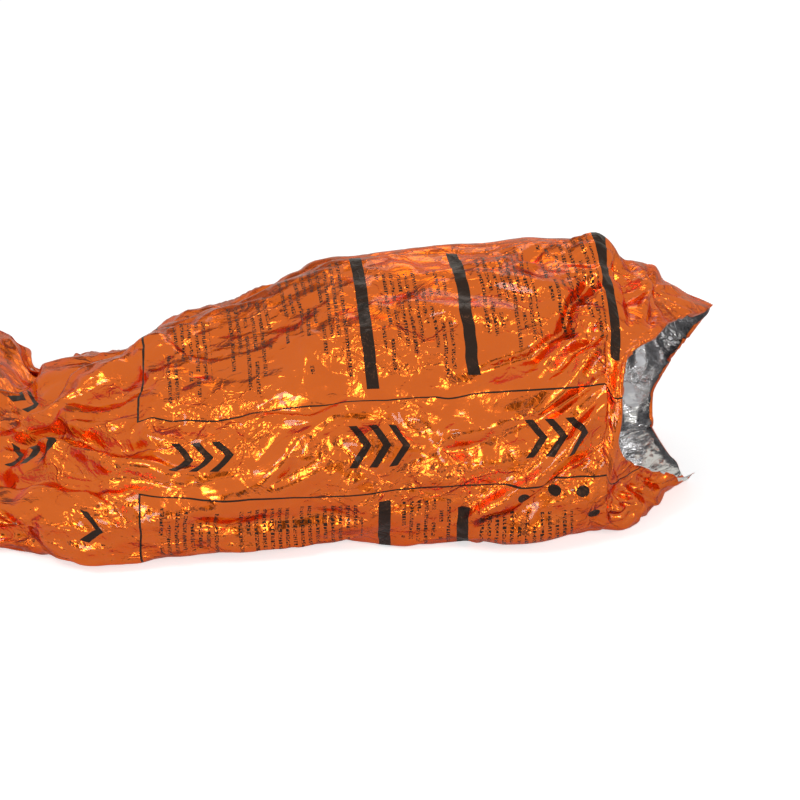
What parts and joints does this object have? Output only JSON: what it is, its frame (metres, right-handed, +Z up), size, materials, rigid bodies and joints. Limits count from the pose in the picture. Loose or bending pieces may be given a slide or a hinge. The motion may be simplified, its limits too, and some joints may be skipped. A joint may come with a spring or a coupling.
{
  "type": "emergency bivvy bag",
  "caption": "Welded bag of metallised film, open at the head end, in the shape it takes round a person lying on one side, with spare film that folds up past the feet.",
  "frame": {"origin": "on the floor under the middle of the bag's bounding box", "axes": "+X along the bag towards its open mouth, +Y towards the far side, behind the wearer's back, and +Z up"},
  "size_m": [2.1512, 1.1036, 0.43],
  "materials": {
    "film_near": "metallised, orange and printed outside, silver inside",
    "film_far": "metallised, orange outside, silver inside",
    "weld": "metallised, orange, heat welded"
  },
  "bodies": {
    "bag": {"near_sheet": "film_near", "far_sheet": "film_far", "top_side_weld": "weld", "ground_side_weld": "weld"},
    "foot_end": {"near_sheet_foot": "film_near", "far_sheet_foot": "film_far", "top_side_weld_foot": "weld", "ground_side_weld_foot": "weld", "foot_weld": "weld"}
  },
  "joints": [
    {"name": "foot_fold", "type": "hinge", "parent": "bag", "child": "foot_end", "pos_m": [-0.55, 0.01928, 0.02845], "axis": [0.2419, 0.9703, 0], "range_deg": [0, 120]}
  ]
}
